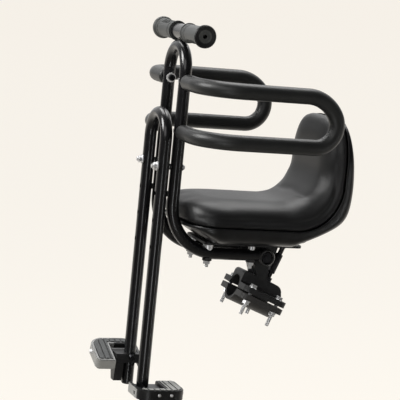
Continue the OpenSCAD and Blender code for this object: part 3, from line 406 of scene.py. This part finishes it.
def loft(name, outline):
    """A closed form, drawn out of one flat face through the outline at each station."""
    rings = []
    for u, w, turn, wide, high in seat_path():
        rings.append([in_seat @ Vector((u + up * math.sin(turn), across, w + up * math.cos(turn)))
                      for across, up in outline(turn, wide, high, u, w)])
    bpy.ops.object.select_all(action='DESELECT')
    bpy.ops.mesh.primitive_circle_add(vertices=len(rings[0]), radius=0.1, fill_type='NGON')
    piece = bpy.context.object
    piece.name = piece.data.name = name
    bpy.ops.object.mode_set(mode='EDIT')
    end = list(bmesh.from_edit_mesh(piece.data).verts)
    for vert, spot in zip(end, rings[0]):
        vert.co = spot
    for ring in rings[1:]:
        order = {tuple(round(c, 6) for c in vert.co): i for i, vert in enumerate(end)}
        bpy.ops.mesh.extrude_region_move()
        end = sorted((vert for vert in bmesh.from_edit_mesh(piece.data).verts if vert.select),
                     key=lambda vert: order[tuple(round(c, 6) for c in vert.co)])
        for vert, spot in zip(end, ring):
            vert.co = spot
    bmesh.update_edit_mesh(piece.data)
    bpy.ops.mesh.select_all(action='SELECT')
    bpy.ops.mesh.remove_doubles(threshold=0.00005)
    bpy.ops.mesh.normals_make_consistent(inside=False)
    bpy.ops.object.mode_set(mode='OBJECT')
    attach(piece, 'seat')
    return piece


def shell_depth(turn, u, w):
    """A belly that rises towards the heel, a rounded heel, and a back that thins upward."""
    if turn == 0.0:
        share = (NOSE - 0.006 - u) / (NOSE_L - 0.002) + 0.02
        return SHELL_SEAT_T * min(1.0, max(0.1, share))
    if turn > 1.57:
        share = (w - CORNER_W) / (BACK_TOP - CORNER_W)
        return max(0.003, SHELL_BACK_T * (1 - max(0.0, share) ** 1.6))
    belly_line = (SEAM_R + SHELL_SEAT_T) / (math.cos(turn) + 0.45 * math.sin(turn))
    heel_line = (SEAM_R + SHELL_BACK_T) / max(math.sin(turn), 0.001)
    return (belly_line ** -8 + heel_line ** -8) ** -0.125 - SEAM_R


def belly(turn, wide, high, u, w):
    """Outline of the shell: a low lip round the cushion, then the side and the belly."""
    half = (SEAT_HALF + SHELL_OUT) * wide
    depth = shell_depth(turn, u, w)
    lip = [(half, 0.0012), (half - 0.0008, 0.0022), (half - 0.0020, 0.0020),
           (half - 0.0024, -0.0004)]
    ring = lip + [(-across, up) for across, up in reversed(lip)]
    for k in range(BELLY_STEPS + 1):
        a = math.pi * k / BELLY_STEPS
        side, down = math.cos(a), math.sin(a)
        across = -half * math.copysign(abs(side) ** SHELL_SIDE_ROUND, side)
        ring.append((across, -0.0002 - (depth - 0.0002) * down ** BELLY_ROUND))
    return ring


shell = loft('moulded_shell', belly)
bpy.ops.object.shade_smooth_by_angle(angle=math.radians(40))
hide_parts('seat_shell')
plastic = Finish('textured_shell_plastic', IOR=1.48)
leathering = plastic.cells(1100)
plastic_cloud = plastic.noise(30, 3)
plastic.feed(Base_Color=plastic.cloudy(plastic_cloud, (0.004, 0.004, 0.0045),
                                       (0.008, 0.008, 0.0085)),
             Roughness=0.25 + plastic_cloud * 0.15,
             Normal=plastic.relief(leathering, 0.0001, 0.35))
shell.data.materials.append(plastic.material)

# Cushion. A thick foam pad in black synthetic leather is drawn tight over the
# foam and tucked in along the shell's lip, so it crowns in the middle and rolls
# over at its sides. The cover is finely grained and takes a soft, broad shine.
PAD_SEAT_T = 0.042
PAD_BACK_T = 0.031
HOLLOW_R = 0.060
HOLLOW_U = -0.008
HOLLOW_W = 0.152
PAD_SIDE_ROUND, CROWN_ROUND, CROWN_STEPS = 0.32, 1.05, 36
TUCK = 0.0035
BULGE = 0.0025
CLOTH_FRAMES = 20
GROOVE_HEIGHT = 0.0155
GROOVE_HALF = 0.0042
GROOVE_DEPTH = 0.0019


def pad_thickness(turn, u, w):
    """Thickness of the pad: even on seat and back, fuller where they meet in a hollow."""
    def hollow(x):
        return HOLLOW_R - math.sqrt(HOLLOW_R ** 2 - x * x) if x > 0 else 0.0
    if turn == 0.0:
        return PAD_SEAT_T + hollow(HOLLOW_U - u)
    if turn > 1.57:
        return PAD_BACK_T + hollow(HOLLOW_W - w)
    du, dw = HOLLOW_U - CORNER_U, HOLLOW_W - CORNER_W
    b = du * math.sin(turn) + dw * math.cos(turn)
    return SEAM_R - math.sqrt(b * b + HOLLOW_R ** 2 - du * du - dw * dw) + b


def crown(turn, wide, high, u, w):
    """Outline of the pad above the seam: flat below, rolled at the sides, crowned on top."""
    half = (SEAT_HALF + 0.0002) * wide
    full = pad_thickness(turn, u, w) - 0.0012
    low = 0.0006 + full * 0.2 * (1 - high)
    top = full * (0.57 + 0.43 * high)
    ring = [((half - 0.0016) * (1 - k / 6), low) for k in range(13)]
    for k in range(1, CROWN_STEPS):
        a = math.pi * k / CROWN_STEPS
        side, up = math.cos(a), math.sin(a)
        across = -half * math.copysign(abs(side) ** PAD_SIDE_ROUND, side)
        ring.append((across, low + (top - low) * up ** CROWN_ROUND))
    return ring


def spots_of(mesh):
    spots = np.empty(len(mesh.vertices) * 3)
    mesh.vertices.foreach_get('co', spots)
    return spots.reshape(-1, 3)


def over_seam(skin):
    """Points of the cover in the seat's own directions, and their heights over the seam."""
    to_seat = np.array(in_seat.inverted())
    local = skin @ to_seat[:3, :3].T + to_seat[:3, 3]
    u, w = local[:, 0], local[:, 2]
    straight = np.where(w >= CORNER_W, u + SEAM_BACK, w - SEAM_W)
    rounded = SEAM_R - np.hypot(u - CORNER_U, w - CORNER_W)
    return local, np.where((u < CORNER_U) & (w < CORNER_W), rounded, straight)


cushion = loft('padded_cushion', crown)
remesh = cushion.modifiers.new('even_skin', 'REMESH')
remesh.mode = 'VOXEL'
remesh.voxel_size = 0.004
bpy.ops.object.modifier_apply(modifier='even_skin')
# The cover swells over the foam under a light pressure, held where it is tucked in.
rest = spots_of(cushion.data)
held_in = np.nonzero(over_seam(rest)[1] < TUCK)[0]
tucked = cushion.vertex_groups.new(name='tucked')
tucked.add([int(i) for i in held_in], 1.0, 'REPLACE')
cover = cushion.modifiers.new('cover', 'CLOTH')
cover.settings.quality = 6
cover.settings.use_pressure = True
cover.settings.uniform_pressure_force = 3.0
cover.settings.vertex_group_mass = 'tucked'
cover.settings.tension_stiffness = 30
cover.settings.compression_stiffness = 30
cover.settings.bending_stiffness = 1.5
cover.settings.effector_weights.gravity = 0
cover.collision_settings.use_collision = False
scene = bpy.context.scene
for tick in range(1, CLOTH_FRAMES + 1):
    scene.frame_set(tick)
settled = cushion.evaluated_get(bpy.context.evaluated_depsgraph_get())
move = spots_of(settled.data) - rest
length = np.linalg.norm(move, axis=1, keepdims=True)
move *= np.minimum(1.0, BULGE / np.maximum(length, 1e-9))
cushion.modifiers.remove(cover)
cushion.data.vertices.foreach_set('co', (rest + move).ravel())
cushion.data.update()
scene.frame_set(1)
even = cushion.modifiers.new('even', 'SMOOTH')
even.factor = 0.5
even.iterations = 14
bpy.ops.object.modifier_apply(modifier='even')
fine = cushion.modifiers.new('fine', 'SUBSURF')
fine.levels = fine.render_levels = 1
bpy.ops.object.modifier_apply(modifier='fine')
bpy.ops.object.shade_smooth()
# It is drawn in a little along its sides, above the roll at its edge.
local, height = over_seam(spots_of(cushion.data))
at_side = np.clip((np.abs(local[:, 1]) - 0.062) / 0.025, 0, 1)
groove = GROOVE_DEPTH * np.exp(-((height - GROOVE_HEIGHT) / GROOVE_HALF) ** 2) * at_side
local[:, 1] -= np.sign(local[:, 1]) * groove
from_seat = np.array(in_seat)
skin = local @ from_seat[:3, :3].T + from_seat[:3, 3]
cushion.data.vertices.foreach_set('co', skin.ravel())
cushion.data.update()
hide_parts('seat_cushion')
leather = Finish('grained_black_leather', IOR=1.5)
grain = leather.cells(900, 'DISTANCE_TO_EDGE')
pores = leather.noise(2600, 2)
worn = leather.noise(16, 4, 0.55)
leather.feed(Base_Color=leather.cloudy(worn, (0.005, 0.005, 0.0055), (0.009, 0.009, 0.0095)),
             Roughness=0.4 + worn * 0.1,
             Normal=leather.relief(grain.low(0.25), 0.00018, 0.5,
                                   leather.relief(pores, 0.00005, 0.3)))
cushion.data.materials.append(leather.material)

# Armrests. Each is a loop of steel tube in a thick sleeve of closed-cell foam
# with a smooth skin. The sleeve creases on the inside of the tight rear bend,
# and its ends are rounded where they meet the frame's legs.
ARM_TOP, ARM_LOW = 0.2685, 0.1915
ARM_OUT, ARM_LEG, ARM_START = 0.1495, 0.165, 0.0485
FRONT_BEND_R = 0.060
REAR_BEND_U, REAR_BEND_R = 0.005731, 0.054
RETURN_U, RETURN_R = -0.012167, 0.033333
FOAM_R = 0.0122
FOAM_SIDES = 40
FOAM_RINGS = 330
MOUTH_L, MOUTH_IN = 0.0045, 0.0032
CREASE_STEP, CREASE_DEPTH = 0.0044, 0.0017


def arm_line():
    """Middle of a left sleeve from its top end to its low one, and where its rear bend lies."""
    bend_u, bend_v = ARM_LEG - FRONT_BEND_R, ARM_OUT - FRONT_BEND_R

    def front_bend(share, w):
        a = math.radians(90) * share
        return (bend_u + FRONT_BEND_R * math.cos(a), bend_v + FRONT_BEND_R * math.sin(a), w)

    def arc(u, w, radius, degrees):
        a = math.radians(degrees)
        return (u + radius * math.cos(a), ARM_OUT, w + radius * math.sin(a))

    line = [(ARM_LEG, ARM_START + (bend_v - ARM_START) * i / 8, ARM_TOP) for i in range(8)]
    line += [front_bend(i / 24, ARM_TOP) for i in range(24)]
    line += [(bend_u + (REAR_BEND_U - bend_u) * i / 24, ARM_OUT, ARM_TOP) for i in range(24)]
    turn_at = len(line)
    line += [arc(REAR_BEND_U, ARM_TOP - REAR_BEND_R, REAR_BEND_R, 90 + 60 * i / 24)
             for i in range(24)]
    line += [arc(RETURN_U, ARM_LOW + RETURN_R, RETURN_R, 150 + 120 * i / 36) for i in range(37)]
    turn_end = len(line) - 1
    line += [(RETURN_U + (bend_u - RETURN_U) * i / 24, ARM_OUT, ARM_LOW) for i in range(1, 25)]
    line += [front_bend(1 - i / 24, ARM_LOW) for i in range(1, 25)]
    line += [(ARM_LEG, bend_v - (bend_v - ARM_START) * i / 8, ARM_LOW) for i in range(1, 9)]
    return [Vector(spot) for spot in line], turn_at, turn_end


def arm_sleeve(name, side):
    centre, turn_at, turn_end = arm_line()
    run = [0.0]
    for a, b in zip(centre, centre[1:]):
        run.append(run[-1] + (b - a).length)
    whole = run[-1]
    marks = {round(0.0015 * k, 5) for k in range(4)}
    marks |= {round(whole - 0.0015 * k, 5) for k in range(4)}
    marks |= {round(0.006 + (whole - 0.012) * i / FOAM_RINGS, 5) for i in range(FOAM_RINGS + 1)}
    hub = Vector((RETURN_U + 0.012, ARM_OUT, ARM_LOW + RETURN_R + 0.006))
    across = Vector((0, 0, 1))
    points, i = [], 0
    for s in sorted(marks):
        while i < len(run) - 2 and run[i + 1] < s:
            i += 1
        share = (s - run[i]) / (run[i + 1] - run[i])
        spot = centre[i].lerp(centre[i + 1], share)
        after = (centre[i + 1] - centre[i]).normalized()
        before = (centre[i] - centre[i - 1]).normalized() if i else after
        ahead = before.lerp(after, share).normalized()
        across = (across - ahead * across.dot(ahead)).normalized()
        other = ahead.cross(across)
        to_end = min(s, whole - s)
        radius = FOAM_R - MOUTH_IN * max(0.0, 1 - to_end / MOUTH_L) ** 2
        through = (s - run[turn_at]) / (run[turn_end] - run[turn_at])
        for k in range(FOAM_SIDES):
            a = 2 * math.pi * k / FOAM_SIDES
            way = across * math.cos(a) + other * math.sin(a)
            crease = 0.0
            if 0 < through < 1:
                inward = max(0.0, way.dot((hub - spot).normalized()) - 0.25) ** 1.5
                wave = (s / CREASE_STEP * 2 * math.pi + 1.4 * math.sin(s * 190)
                        + 1.2 * math.cos(2 * a))
                uneven = math.sin(through * math.pi) ** 0.5 * (0.6 + 0.4 * math.sin(s * 333))
                crease = CREASE_DEPTH * inward * (0.5 + 0.5 * math.sin(wave)) ** 3 * uneven
            points.append(spot + way * (radius - crease))
    faces = []
    rings = [[i * FOAM_SIDES + k for k in range(FOAM_SIDES)] for i in range(len(marks))]
    for ring, following in zip(rings, rings[1:]):
        for k in range(FOAM_SIDES):
            j = (k + 1) % FOAM_SIDES
            faces.append((ring[k], ring[j], following[j], following[k]))
    for ring in (rings[0], rings[-1]):
        middle = sum((points[k] for k in ring), Vector()) / FOAM_SIDES
        mouth = [len(points) + k for k in range(FOAM_SIDES)]
        points += [middle + (points[k] - middle) * 0.9 for k in ring]
        for k in range(FOAM_SIDES):
            j = (k + 1) % FOAM_SIDES
            faces.append((ring[k], mouth[k], mouth[j], ring[j]))
        faces.append(tuple(mouth))
    mesh = bpy.data.meshes.new(name)
    mesh.from_pydata([in_seat @ Vector((p.x, side * p.y, p.z)) for p in points], [], faces)
    sleeve = bpy.data.objects.new(name, mesh)
    bpy.context.collection.objects.link(sleeve)
    bpy.ops.object.select_all(action='DESELECT')
    bpy.context.view_layer.objects.active = sleeve
    sleeve.select_set(True)
    bpy.ops.object.mode_set(mode='EDIT')
    bpy.ops.mesh.select_all(action='SELECT')
    bpy.ops.mesh.normals_make_consistent(inside=False)
    bpy.ops.object.mode_set(mode='OBJECT')
    bpy.ops.object.shade_smooth_by_angle(angle=math.radians(50))
    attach(sleeve, 'seat')
    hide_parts(name.replace('_sleeve', '_foam'))
    return sleeve


foam = Finish('foam_skin', IOR=1.5)
pits = foam.noise(1500, 3, 0.6)
patches = foam.noise(26, 4, 0.6)
foam.feed(Base_Color=foam.cloudy(patches, (0.011, 0.0115, 0.0115), (0.017, 0.0175, 0.0175)),
          Roughness=0.36 + patches * 0.1, Normal=foam.relief(pits, 0.00012, 0.5))
for name, side in (('left_arm_sleeve', 1), ('right_arm_sleeve', -1)):
    arm_sleeve(name, side).data.materials.append(foam.material)

# Grips. Two rubber grips sit on the handle bar, each with a flange and a dished
# face at its outer end, a collar at its inner end and ribbed panels between
# them. The dished outer face is painted darker than the panels, as painted shade
# in its hollow.
GRIP_FACE = 0.1003
rubber = Finish('grip_rubber', IOR=1.46)
rubber_skin = rubber.noise(1300, 3, 0.6)
bloom = rubber.noise(60, 4, 0.6)
# Painted shade: the dished outer end face gets a darker colour than the panels.
face = rubber.along((0, 0, 0), (0, 1, 0)).size().above(GRIP_FACE)
panels = rubber.cloudy(bloom, (0.045, 0.047, 0.046), (0.07, 0.072, 0.071))
rubber.feed(Base_Color=rubber.mix(face, panels, (0.009, 0.009, 0.0095)),
            Roughness=0.42 + bloom * 0.12, Normal=rubber.relief(rubber_skin, 0.0001, 0.45))
rubber.on('left_grip', 'right_grip')

# Footrests. Two folding platforms of black moulded plastic, coloured pale grey
# at their end faces, carry a ribbed rubber tread on top and hang on brackets
# bolted through the legs. Black grooves between the treads' ribs are painted
# shade, and the left tread's pale ribs are a painted sheen.
FOOT_U = 0.1863
FOOT_V = 0.0585
LEFT_PIN_W, RIGHT_PIN_W = -0.2155, -0.1805
END_FRONT, END_REAR = 0.0184, 0.0574
GROOVE_FLOOR = 0.0101
RIGHT_FOLD = math.radians(20)
turned = in_seat.to_3x3()
mould = Finish('platform_plastic', IOR=1.48)
mould_cloud = mould.noise(50, 3)
ahead = mould.along(PIVOT, turned @ Vector((1, 0, 0))) - FOOT_U
# The end faces ahead of and behind the tread are coloured pale grey.
pale_end = ahead.above(END_FRONT).top((0 - ahead).above(END_REAR))
black = mould.cloudy(mould_cloud, (0.005, 0.005, 0.0055), (0.009, 0.009, 0.0095))
mould.feed(Base_Color=mould.mix(pale_end, black, (0.235, 0.235, 0.23)),
           Roughness=0.3 + mould_cloud * 0.16,
           Normal=mould.relief(mould.noise(1400, 2), 0.00008, 0.4))
mould.on('left_footrest', 'right_footrest')


def ribbed(name, dark, light, pin, up):
    """Tread rubber, black below its rib tops as painted shade. Up is square to the tread."""
    tread = Finish(name, IOR=1.46)
    wear = tread.noise(70, 4)
    # Painted shade: the grooves below the rib tops are coloured black.
    on_ribs = tread.along(in_seat @ Vector(pin), turned @ Vector(up)).above(GROOVE_FLOOR)
    tread.feed(Base_Color=tread.mix(on_ribs, (0.006, 0.006, 0.006),
                                    tread.cloudy(wear, dark, light)),
               Roughness=0.42 + wear * 0.15,
               Normal=tread.relief(tread.noise(1200, 3), 0.0001, 0.5))
    return tread


# The left tread's pale ribs are a painted sheen; the right tread is the same rubber, dark.
ribbed('tread_painted_sheen', (0.3, 0.3, 0.285), (0.42, 0.42, 0.4),
       (FOOT_U, FOOT_V, LEFT_PIN_W), (0, 0, 1)).on('left_tread')
ribbed('dark_tread', (0.03, 0.033, 0.034), (0.044, 0.047, 0.048),
       (FOOT_U, -FOOT_V, RIGHT_PIN_W),
       (0, math.sin(RIGHT_FOLD), math.cos(RIGHT_FOLD))).on('right_tread')
